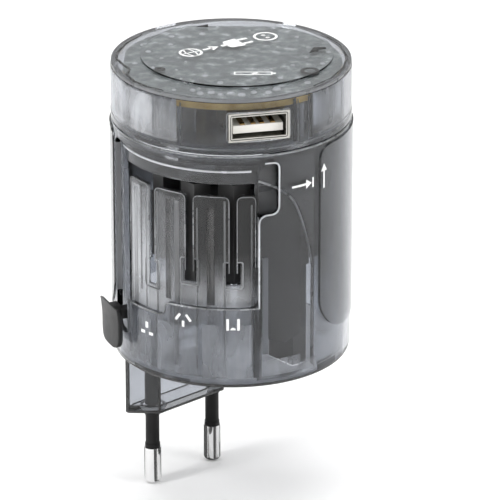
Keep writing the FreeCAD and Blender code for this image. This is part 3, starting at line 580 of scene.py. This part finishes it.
def end_face(name, lane, r0, r1, z0, z1, wide):
    """The milky end face of a curved wall, wide degrees across and slightly uneven in depth."""
    steps = 24
    bm = bmesh.new()
    rings = []
    for i in range(steps + 1):
        z = z0 + (z1 - z0) * i / steps
        inside = r0 + 0.06 * math.sin(i * 1.7)
        corners = ((inside, lane), (r1, lane), (r1, lane + wide), (inside, lane + wide))
        rings.append([bm.verts.new(at(r, angle, z)) for r, angle in corners])
    join_rings(bm, rings)
    cap_ends(bm, rings)
    mesh_piece(name, bm, LOOKS["end_face"], "housing", smooth=False)


def blobs(name, spots, replace=None):
    """Domed solder joints on the board; each spot is (x, y, radius, height) in mm."""
    sides, levels = 14, 5
    bm = bmesh.new()
    for x, y, radius, high in spots:
        rings = []
        for k in range(levels):
            slope = math.radians(90 * k / levels)
            reach, rise = radius * math.cos(slope) ** 0.8, high * math.sin(slope)
            ring = []
            for t in range(sides):
                turn = t * math.tau / sides
                spot = Vector((x + reach * math.cos(turn), y + reach * math.sin(turn), BOARD_TOP + rise))
                ring.append(bm.verts.new(spot * MM))
            rings.append(ring)
        tip = bm.verts.new(Vector((x, y, BOARD_TOP + high)) * MM)
        join_rings(bm, rings)
        for t in range(sides):
            bm.faces.new((rings[-1][t], rings[-1][(t + 1) % sides], tip))
        bm.faces.new(rings[0])
    obj = mesh_piece(name, bm, LOOKS["solder"], "charger_cap")
    if replace:
        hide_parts(replace)


# ------------------------------------------------------------------ printed marks
bm = bmesh.new()
place = on_wall(OUTER_WALL, 2.8, 16.0)
for x in (-1.25, 1.25):                                    # flat blades
    flat_bar(bm, place, (x, -1.4), (x, 1.5), 0.62)
flat_poly(bm, place, arc_points(0, -1.3, 0.62, 0, 180, 12))
mesh_piece("mark_flat_blades", bm, LOOKS["print"], "housing", smooth=False)

bm = bmesh.new()
place = on_wall(OUTER_WALL, -21.4, 16.3)
flat_bar(bm, place, (-1.9, -0.1), (-0.75, 1.45), 0.62)     # slanted blades over an upright one
flat_bar(bm, place, (1.9, -0.1), (0.75, 1.45), 0.62)
flat_bar(bm, place, (0, -1.7), (0, -0.2), 0.62)
mesh_piece("mark_slanted_blades", bm, LOOKS["print"], "housing", smooth=False)

bm = bmesh.new()
place = on_wall(OUTER_WALL, -42.4, 11.8)
flat_bar(bm, place, (0, 0.1), (0, 1.6), 0.85)              # earth pin over two line pins
flat_bar(bm, place, (-1.95, -1.1), (-0.65, -1.1), 0.75)
flat_bar(bm, place, (0.65, -1.1), (1.95, -1.1), 0.75)
mesh_piece("mark_three_pins", bm, LOOKS["print"], "housing", smooth=False)

bm = bmesh.new()
place = on_wall(OUTER_WALL, 38.2, 48.5)                    # an arrow that points at a bar
flat_bar(bm, place, (-3.2, 0), (1.2, 0), 0.5)
flat_poly(bm, place, [(0.7, 1.1), (2.3, 0.0), (0.7, -1.1)])
flat_bar(bm, place, (2.75, -1.2), (2.75, 1.2), 0.45)
place = on_wall(28.36, 50.4, 49.3)                         # an arrow that points up
flat_bar(bm, place, (0, -3.0), (0, 1.6), 0.5)
flat_poly(bm, place, [(-1.0, 1.2), (1.0, 1.2), (0.0, 3.0)])
mesh_piece("mark_arrows", bm, LOOKS["print"], "housing", smooth=False)

# ------------------------------------------------------------------ edges of the window and lanes, drawn as painted highlights, with dark partition lines
window = [(-71.0, 55.3), (25.2, 55.3), (25.2, 42.6), (15.3, 42.6), (15.3, 19.7), (-31.4, 19.7),
          (-31.4, 16.4), (-58.0, 16.4)]
wall_line("window_edge", "housing", "edge", [window[4:]], OUTER_EDGE, 0.42, 0.12, 2.2)
wall_line("window_edge_bright", "housing", "edge_bright", [[(18.0, 55.3)] + window[1:5]],
          OUTER_EDGE, 0.46, 0.12, 2.2)
step_edge = [(lane, 53.1) for lane in range(-68, 15, 4)]
wall_line("gallery_step_edge", "housing", "edge_bright", [step_edge], 26.42, 0.62, 0.2)

lane_tops = []
for left, right in ((-61.3, -44.5), (-40.3, -21.9), (-17.5, 0.9), (5.0, 14.4)):
    lane_tops.append([(left, 28.0), (left, 46.7), (right, 46.7), (right, 28.0)])
wall_line("lane_edges", "housing", "edge", lane_tops, INNER_EDGE, 0.24, 0.14, 1.4)

keyholes = []
half = math.degrees(2.25 / 26.05)
for lane, low_z, high_z in ((3.0, 24.8, 30.5), (-19.7, 25.1, 30.9), (-42.3, 22.2, 28.5)):
    foot, shoulder = low_z - 0.7, high_z + 0.2
    keyholes.append([(lane - 2.3, shoulder), (lane - half, shoulder), (lane - half, foot),
                     (lane + half, foot), (lane + half, shoulder), (lane + 2.3, shoulder)])
wall_line("keyhole_edges", "housing", "edge", keyholes, INNER_EDGE, 0.34, 0.2, 0.8)

arch = [(15.5, 50.6), (24.0, 48.9), (31.0, 46.5), (35.0, 44.0), (38.5, 39.9), (42.0, 34.5), (44.0, 30.5),
        (45.5, 26.0), (45.5, 7.0)]
wall_line("arch_edge", "housing", "edge", [arch], 26.45, 0.55, 0.2, 2.0)
partitions = [[(lane, 2.2), (lane, 44.0)] for lane in (-53.7, -31.0, -10.0, 13.0)]
wall_line("lane_partitions", "housing", "edge_dark", partitions, 24.6, 0.45, 0.4)
all_round = range(-180, 181, 10)
wall_line("shell_seam", "housing", "edge", [[(lane, 57.2) for lane in all_round]], SEAM_LINE, 0.5, 0.14, 0.1)

# ------------------------------------------------------------------ shaded and lit edges of the thick parts
outline = [(10.0, -3.35), (15.3, 1.9), (15.3, 2.5), (14.5, 3.35), (-14.5, 3.35), (-15.3, 2.5), (-15.3, 1.9),
           (-10.0, -3.35)]
inner_outline = [(u * 0.93, n * 0.72) for u, n in outline]
bm = bmesh.new()
tube(bm, [band_point(u, n, -16.62) for u, n in outline], 0.34, closed=True)
tube(bm, [band_point(u, n, -15.1) for u, n in inner_outline], 0.10, closed=True)
for u, n in outline:
    tube(bm, [band_point(u, n, z) for z in (-16.6, -1.0, 8.6)], 0.28)
mesh_piece("casing_shaded_edges", bm, LOOKS["edge_dark"], "two_pin_plug")

bm = bmesh.new()
for u, n in ((-9.5, 0.0), (9.5, 0.0)):
    circle = arc_points(u, n, 2.5, 0, 345, 23)
    tube(bm, [band_point(x, y, -15.9) for x, y in circle], 0.42, closed=True)
mesh_piece("pin_root_glow", bm, LOOKS["edge_bright"], "two_pin_plug")

bm = bmesh.new()
tab_edge = [(-73.9, 6.6, 30.9), (-74.2, 8.4, 31.1), (-74.3, 11.0, 31.2), (-74.3, 13.2, 31.4),
            (-74.2, 14.6, 31.6)]
tube(bm, [at(radius, lane, z) / MM for lane, z, radius in tab_edge], 0.10)
mesh_piece("lever_lit_edge", bm, LOOKS["lever_edge"], "lever")

bm = bmesh.new()
tube(bm, around_wall(27.42, range(0, 360, 4), 0.44), 0.42, closed=True)
mesh_piece("foot_shade", bm, LOOKS["edge_dark"], "housing")

# beads along the rim of the lid: (x, y, bead radius)
left_rim = [(-21.6, 15.6, 0.14), (-25.0, 8.8, 0.2), (-26.6, 3.0, 0.26), (-26.4, -1.4, 0.3),
            (-24.8, -5.0, 0.3), (-23.0, -8.4, 0.3), (-23.4, -12.0, 0.3), (-21.6, -16.0, 0.26),
            (-18.6, -19.4, 0.2), (-14.6, -22.0, 0.12)]
right_rim = [(20.6, 17.6, 0.12), (25.2, 9.6, 0.18), (26.7, 2.0, 0.24), (26.0, -5.2, 0.24),
             (23.4, -12.4, 0.2), (19.4, -18.0, 0.12)]
bm = bmesh.new()
for path in (left_rim, right_rim):
    for (x0, y0, bead0), (x1, y1, bead1) in zip(path, path[1:]):
        tube(bm, [Vector((x0, y0, 71.02)), Vector((x1, y1, 71.02))], (bead0 + bead1) / 2)
mesh_piece("rim_shade", bm, LOOKS["edge_dark"], "charger_cap")

# ------------------------------------------------------------------ frosted films and dark films of painted shade in the clear walls, and bands of painted highlight and painted shade in the lanes
# each film is (name, body, look, radius, lanes, low height, high height)
films = [("cap_cloud_0", "charger_cap", "cloud", OUTER_FILM, (-86, -56), 59.9, 69.8),
         ("cap_cloud_1", "charger_cap", "cloud", OUTER_FILM, (-56, -38), 59.9, 69.8),
         ("cap_cloud_2", "charger_cap", "cloud_soft", OUTER_FILM, (-38, -24), 59.9, 69.8),
         ("cap_cloud_3", "charger_cap", "cloud_thin", OUTER_FILM, (47, 110), 59.9, 69.8),
         ("cap_cloud_4", "charger_cap", "cloud_soft", OUTER_FILM, (-104, -86), 59.9, 69.8),
         ("cap_cloud_5", "charger_cap", "cloud_thin", OUTER_FILM, (-150, -104), 59.9, 69.8),
         ("lane_cloud_1", "housing", "cloud", INNER_FILM, (-59.9, -44.6), 4.0, 45.6),
         ("lane_cloud_2", "housing", "cloud_thin", INNER_FILM, (-40, -22), 4.0, 45.6),
         ("corner_cloud", "housing", "cloud_thin", 26.55, (15.6, 24.6), 43.2, 55.0),
         ("wall_cloud_left", "housing", "cloud_soft", OUTER_FILM, (-73.6, -71.2), 3.0, 56.0),
         ("low_cloud_0", "housing", "cloud", OUTER_FILM, (-56, -40), 2.4, 15.6),
         ("low_cloud_1", "housing", "cloud", OUTER_FILM, (-36, -14), 2.4, 15.0),
         ("low_cloud_2", "housing", "cloud", OUTER_FILM, (-12, 12), 2.4, 15.8),
         ("foot_shade_left", "housing", "shade_film", OUTER_FILM, (-52, -18), 0.8, 1.6),
         ("foot_shade_mid", "housing", "shade_film", OUTER_FILM, (14, 38), 1.7, 2.6),
         ("foot_shade_right", "housing", "shade_film", OUTER_FILM, (47.5, 62), 1.0, 2.4),
         ("foot_cloud_mid", "housing", "cloud", OUTER_FILM, (17, 37), 2.7, 6.6),
         ("foot_cloud_right", "housing", "cloud", OUTER_FILM, (38, 47), 1.6, 4.8),
         ("shield_shade_left", "housing", "shade_film", OUTER_FILM, (12.5, 16.5), 2.4, 30.0)]
for name, body, look, radius, lanes, low_z, high_z in films:
    film(name, body, look, radius, lanes, low_z, high_z)

# each painted highlight band and each painted shade band in the lanes is (lane, width)
lane_highlights = [(-59.6, 0.5), (-55.5, 2.0), (-46.6, 0.5), (-38.6, 0.5), (-26.6, 1.3), (-15.4, 0.35),
              (-1.3, 0.45), (12.4, 0.4)]
lane_shades = [(-50.6, 0.9), (-31.8, 1.5), (-8.4, 1.8)]
for name, look, foot, lines in (("lane_highlight", "streak", 4.0, lane_highlights),
                                ("painted_lane_shade", "streak_dark", 20.0, lane_shades)):
    for k, (lane, width) in enumerate(lines):
        path = [(lane, foot), (lane, 26.0), (lane, 45.8 - k % 3)]
        wall_line("%s_%d" % (name, k), "housing", look, [path], LANE_BAND_RADIUS, width, 0.05)

for name, first, last in (("cap_shelf_left", -74, -25), ("cap_shelf_right", 46, 76)):
    shelf = [(lane, 64.9) for lane in range(first, last + 1, 3)]
    wall_line(name, "charger_cap", "shelf", [shelf], 25.85, 9.6, 0.25)
bm = bmesh.new()
tube(bm, around_wall(27.62, range(-75, 76, 5), LID_RIM), 0.12)
mesh_piece("rim_light", bm, LOOKS["edge"], "charger_cap")
lid_side = [(lane, 70.62) for lane in range(-70, 71, 4)]
wall_line("lid_side_frost", "charger_cap", "end_face", [lid_side], 27.8, 0.74, 0.05, 0.1)
end_face("window_left_face", -70.9, 26.7, 27.95, 16.6, 53.4, 0.3)
end_face("window_right_face", 15.0, 26.7, 27.9, 21.5, 42.0, 0.22)
end_face("shield_front_bar", 18.5, 24.5, 25.0, 7.0, 31.0, 3.0)

port_corners = [(-6.62, 2.92), (6.62, 2.92), (6.62, -2.92), (-6.62, -2.92)]
port_path = densify(rounded(port_corners, 0.5, True), 1.5, True)
to_port = Matrix.Rotation(math.radians(PORT_LANE), 4, "Z")
bm = bmesh.new()
tube(bm, [to_port @ Vector((x, -27.62, 64.4 + z)) for x, z in port_path], 0.14, closed=True)
mesh_piece("port_groove", bm, LOOKS["edge_dark"], "charger_cap")

# ------------------------------------------------------------------ selector lever with its scooped tab


def rise_after(t, start):
    """0 up to start, then rising evenly to 1 at t = 1."""
    return max(0.0, (t - start) / (1 - start))


def lever_piece():
    mid_lane, half_span = -65.0, 9.6
    low_z, high_z = 4.45, 15.6
    face_radius = 31.25
    rows, cols = 22, 18
    bm = bmesh.new()
    outer, inner = [], []
    for i in range(rows + 1):
        t = i / rows
        foot = max(0.0, 1 - t * 3.2)
        width = 0.50 + 0.50 * math.sqrt(max(0.0, 1 - foot ** 2.4))
        flare = 0.45 * rise_after(t, 0.55) ** 1.6
        dish = 0.30 * math.sin(math.pi * min(1.0, t * 1.1))
        thick = 1.25 - 0.85 * rise_after(t, 0.72)
        crest = rise_after(t, 0.8)
        outer_row, inner_row = [], []
        for j in range(cols + 1):
            u = 2 * j / cols - 1
            bulge = 1 - u * u
            slope = (bulge * 0.9 - max(0.0, -u - 0.6) * 1.2) * crest
            lane = mid_lane + half_span * u * width
            z = low_z + (high_z - low_z) * t + slope * 0.6 - 0.75 * crest
            radius = face_radius + flare - dish * bulge * 0.6
            outer_row.append(bm.verts.new(at(radius, lane, z)))
            inner_row.append(bm.verts.new(at(radius - thick, lane, z)))
        outer.append(outer_row)
        inner.append(inner_row)
    for grid in (outer, inner):
        for a, b in zip(grid, grid[1:]):
            for j in range(cols):
                bm.faces.new((a[j], a[j + 1], b[j + 1], b[j]))
    for i in range(rows):
        for j in (0, cols):
            bm.faces.new((outer[i][j], outer[i + 1][j], inner[i + 1][j], inner[i][j]))
    for i in (0, rows):
        for j in range(cols):
            bm.faces.new((outer[i][j], outer[i][j + 1], inner[i][j + 1], inner[i][j]))
    # neck and stem: (inner radius, outer radius, width, low height, high height)
    turn = Matrix.Rotation(math.radians(mid_lane), 4, "Z")
    for r0, r1, wide, z0, z1 in ((28.5, 30.6, 3.0, 7.9, 14.4), (22.7, 28.6, 2.9, 10.65, 13.15)):
        made = bmesh.ops.create_cube(bm, size=1.0)["verts"]
        size = Matrix.Diagonal((wide * MM, (r1 - r0) * MM, (z1 - z0) * MM, 1))
        move = Matrix.Translation((0, -(r0 + r1) / 2 * MM, (z0 + z1) / 2 * MM))
        bmesh.ops.transform(bm, matrix=turn @ move @ size, verts=made)
        edges = list(dict.fromkeys(edge for corner in made for edge in corner.link_edges))
        bmesh.ops.bevel(bm, geom=edges, offset=0.3 * MM, segments=3, affect="EDGES", profile=0.5)
    obj = mesh_piece("lever_scooped", bm, LOOKS["lever"], "lever")
    add_bevel(obj, 0.25)
    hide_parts("selector_lever")


lever_piece()

# ------------------------------------------------------------------ domed solder joints on the board
spots = []
for k, lane in enumerate((-22.0, -16.0, -10.0, -4.0, 2.0, 8.0, 16.0, 24.0, 31.0)):
    spot = at(22.6 if k % 2 else 21.4, lane, 0) / MM
    spots.append((spot.x, spot.y, 0.75 + 0.12 * (k % 3), 0.5))
blobs("solder_domes", spots, "solder_joints")
spots = []
golden_turn = 2.39996
for k in range(46):
    angle, radius = k * golden_turn, 24.2 * math.sqrt((k + 6.0) / 52)
    x, y = radius * math.cos(angle), radius * math.sin(angle)
    under_disc = -14 < x < 13 and -1 < y < 17
    if abs(y) < 23 and x > -23.5 and not under_disc:
        spots.append((x, y, 0.38 + 0.14 * (k % 4), 0.3))
blobs("board_joints", spots)

# ------------------------------------------------------------------ marks set in the top of the lid
bm = bmesh.new()
place = on_lid(-0.75, 8.2, 34.7)
ring_shape(bm, place, -10.6, 0, 2.5, 0.6)                        # a globe
ring_shape(bm, place, -10.6, 0, 2.5, 0.34, squeeze=0.42)
flat_bar(bm, place, (-13.0, 0), (-8.2, 0), 0.36, MARK_THICK)
flat_bar(bm, place, (-7.2, 0), (-4.6, 0), 0.8, MARK_THICK)       # an arrow
flat_poly(bm, place, [(-5.2, 1.5), (-3.0, 0.0), (-5.2, -1.5)], MARK_THICK)
flat_bar(bm, place, (-2.2, 0), (-0.6, 0), 1.0, MARK_THICK)       # a plug
plug = [(-0.9, -1.4), (-0.4, -2.2), (3.0, -2.6), (3.0, 2.6), (-0.4, 2.2), (-0.9, 1.4)]
flat_poly(bm, place, plug, MARK_THICK)
for y in (-1.35, 1.35):
    flat_bar(bm, place, (2.9, y), (5.6, y), 0.85, MARK_THICK)
ring_shape(bm, place, 10.0, 0, 2.6, 0.6)                         # a socket
for y in (-0.95, 0.95):
    ring_shape(bm, place, 10.0, y, 0.28, 0.56, steps=10)
mesh_piece("lid_pictograms", bm, LOOKS["print"], "charger_cap", smooth=False)

bm = bmesh.new()
place = on_lid(5.8, -11.3, 2.0)
battery = [(-4.6, -0.85), (3.9, -0.85), (3.9, 0.85), (-4.6, 0.85), (-4.6, -0.85)]
for a, b in zip(battery, battery[1:]):
    flat_bar(bm, place, a, b, 0.34, MARK_THICK)
flat_bar(bm, place, (4.1, 0), (4.8, 0), 0.8, MARK_THICK)
bolt = [(-1.2, 0.15), (0.9, 0.62), (0.35, 0.1), (1.2, -0.1), (-0.9, -0.62), (-0.35, -0.08)]
flat_poly(bm, place, bolt, MARK_THICK)
mesh_piece("lid_charge_mark", bm, LOOKS["print"], "charger_cap", smooth=False)

# dark shapes over the screw posts; the two rings are thicker and lie inside the lid
bm = bmesh.new()
deep, deep_thick = 70.9, 0.55
ring_shape(bm, on_lid(18.3, -9.0, 0, deep), 0, 0, 1.75, 0.85, thick=deep_thick)
ring_shape(bm, on_lid(-16.0, -9.0, 0, deep), 0, 0, 0.8, 0.9, thick=deep_thick)
flat_poly(bm, on_lid(-7.4, 20.9, 0), [(-1.7, -0.6), (1.3, -1.1), (1.1, 1.1)], MARK_THICK)
notched = [(-2.7, -1.3), (-0.4, -1.0), (0.2, 0.2), (2.0, 0.0), (2.3, 1.5), (-0.5, 2.0)]
flat_poly(bm, on_lid(20.0, 4.9, 20), notched, MARK_THICK)
mesh_piece("lid_screw_marks", bm, LOOKS["mark"], "charger_cap")

# ------------------------------------------------------------------ moulded lines of the cap, drawn as painted highlights and painted shade
ribs = [[(lane, 59.0), (lane, 69.2)] for lane in (-57.6, -23.3, 36.4, 42.9, 70.0, -80.0)]
wall_line("cap_rib_lines", "charger_cap", "edge", ribs, 26.25, 0.35, 0.1)
# dark strips beside two ribs: painted shade, in the chip resin
shades = [[(lane, 59.2), (lane, 69.6)] for lane in (34.6, 44.6)]
wall_line("cap_rib_shades", "charger_cap", "chip", shades, 26.2, 0.8, 0.08)
foot_line = [(lane, 58.9) for lane in all_round]
wall_line("cap_foot_line", "charger_cap", "edge", [foot_line], SEAM_LINE, 0.4, 0.13, 0.1)
port_frame = [(-7.4, 67.9), (7.4, 67.9), (7.4, 60.9), (-7.4, 60.9)]
port_arc = OUTER_EDGE * math.radians(PORT_LANE)
bm = bmesh.new()
frame_path = rounded([(port_arc + x, z) for x, z in port_frame], 0.7, True)
wall_strip(bm, frame_path, OUTER_EDGE, 0.3, 0.08, True)
mesh_piece("port_frame_edge", bm, LOOKS["edge"], "charger_cap")

for name, width in (("outer_shell", 0.25), ("guide_panel", 0.18), ("cap_wall", 0.15), ("cap_lid", 0.12),
                    ("eu_casing", 0.35), ("base_plate", 0.15), ("usb_shell", 0.1), ("usb_tongue", 0.12)):
    add_bevel(NODES[name], width)

# ------------------------------------------------------------------ floor
floor_z = CAD_BOX[0][2] - 0.0004
# a paper sheet in metres: flat under the part, then curving up far behind it
front, bend, sweep, top = -1.2, 0.9, 0.5, 2.4
profile = [(front, 0.0), (bend, 0.0)]
for i in range(1, 9):
    angle = math.radians(90 * i / 8)
    profile.append((bend + sweep * math.sin(angle), sweep - sweep * math.cos(angle)))
profile.append((bend + sweep, top))
floor_mesh = bpy.data.meshes.new("floor")
verts = [(x, y, z + floor_z) for y, z in profile for x in (-2.0, 2.0)]
faces = [(2 * i, 2 * i + 1, 2 * i + 3, 2 * i + 2) for i in range(len(profile) - 1)]
floor_mesh.from_pydata(verts, [], faces)
for poly in floor_mesh.polygons:
    poly.use_smooth = True
floor = bpy.data.objects.new("floor", floor_mesh)
scene.collection.objects.link(floor)
floor_mesh.materials.append(LOOKS["paper"])


def reflected_card(name, x, y, start, end):
    """A dark card lying round a pin, seen only in polished metal, as a studio flag is."""
    near, far, steps = 2.3, 30, 12
    lift = floor_z + 0.0001
    turns = [start + (end - start) * k / steps for k in range(steps + 1)]
    reach = [(near, start)] + [(far, turn) for turn in turns] + [(near, end)]
    bm = bmesh.new()
    corners = []
    for radius, turn in reach:
        px = x + radius * math.sin(math.radians(turn))
        py = y - radius * math.cos(math.radians(turn))
        corners.append(bm.verts.new((px * MM, py * MM, lift)))
    bm.faces.new(corners)
    card = mesh_piece(name, bm, LOOKS["edge_dark"], None, smooth=False)
    for seen_by in ("visible_camera", "visible_diffuse", "visible_transmission", "visible_shadow"):
        setattr(card, seen_by, False)


for k, (x, y) in enumerate(((-18.88, -2.80), (-5.22, 10.40))):
    reflected_card("flag_front_%d" % k, x, y, 18, 66)
    reflected_card("flag_back_%d" % k, x, y, 128, 235)

# ------------------------------------------------------------------ light
world = bpy.data.worlds.new("studio")
world.use_nodes = True
sky = world.node_tree
direction = sky.nodes.new("ShaderNodeTexCoord")
split = sky.nodes.new("ShaderNodeSeparateXYZ")
sky.links.new(direction.outputs["Generated"], split.inputs[0])
brightness = [(0.0, grey(0.42)), (0.2, grey(0.34)), (0.45, grey(0.75)), (1.0, grey(1.0))]
shade = ramp(sky, split.outputs["Z"], brightness)
sky.links.new(shade, sky.nodes["Background"].inputs["Color"])
sky.nodes["Background"].inputs["Strength"].default_value = 0.8
scene.world = world
scene.view_settings.view_transform = "Standard"


def area_light(name, place, size_x, size_y, power):
    """A rectangular lamp that faces the middle of the part; sizes and places in metres."""
    middle = Vector((0, 0, 0.02))
    data = bpy.data.lights.new(name, "AREA")
    data.energy = power
    data.shape = "RECTANGLE"
    data.size = size_x
    data.size_y = size_y
    lamp = bpy.data.objects.new(name, data)
    lamp.location = place
    lamp.rotation_mode = "QUATERNION"
    lamp.rotation_quaternion = (middle - Vector(place)).to_track_quat("-Z", "Y")
    scene.collection.objects.link(lamp)


area_light("key", (-0.55, -0.35, 0.35), 0.16, 0.7, 3.0)
area_light("fill", (0.7, -0.25, 0.3), 0.3, 0.7, 3.0)
area_light("top", (0.0, 0.2, 1.0), 0.9, 0.9, 6.5)

# ------------------------------------------------------------------ camera
azimuth, elevation, distance = math.radians(1.878), math.radians(22.498), 0.9752
back = Vector((math.sin(azimuth) * math.cos(elevation), -math.cos(azimuth) * math.cos(elevation),
               math.sin(elevation)))
right = Vector((math.cos(azimuth), math.sin(azimuth), 0))
target = right * 0.00434 + Vector((0, 0, 0.02307))
camera = bpy.data.objects.new("camera", bpy.data.cameras.new("camera"))
camera.data.sensor_width = 36.0
camera.data.lens = 298.4
camera.data.clip_start = 0.05
camera.data.clip_end = 20
camera.location = target + back * distance
camera.rotation_mode = "QUATERNION"
camera.rotation_quaternion = (-back).to_track_quat("-Z", "Y")
scene.collection.objects.link(camera)
scene.camera = camera
